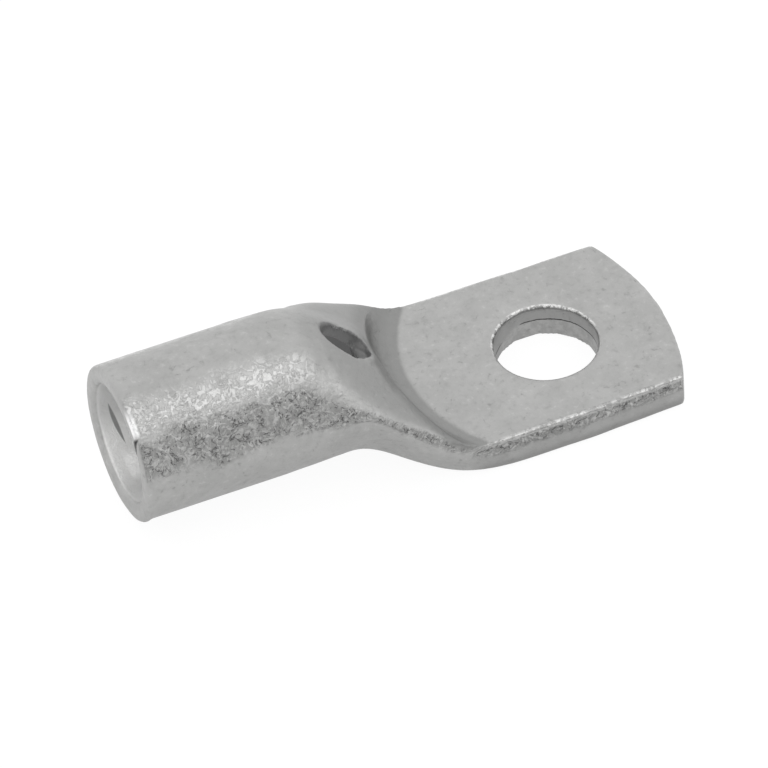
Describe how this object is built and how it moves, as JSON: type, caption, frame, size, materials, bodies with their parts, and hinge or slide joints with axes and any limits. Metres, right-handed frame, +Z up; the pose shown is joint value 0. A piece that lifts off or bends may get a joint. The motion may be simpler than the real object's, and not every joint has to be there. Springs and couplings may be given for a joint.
{
  "type": "copper cable lug",
  "caption": "One-piece tubular copper cable lug: a round barrel crimps onto a stranded conductor, and a flat palm with a hole bolts to a stud.",
  "frame": {"origin": "on the stud hole's axis, at the palm's flat underside", "axes": "+X along the barrel from its mouth to the palm's end, +Y across the palm, +Z up out of the palm's top face along the stud hole's axis"},
  "size_m": [0.047, 0.0182, 0.0139],
  "materials": {
    "tinned_copper": "satin tin plating over copper, silver-grey and slightly blotchy"
  },
  "bodies": {
    "root": {"cable_lug": "tinned_copper"}
  },
  "joints": []
}
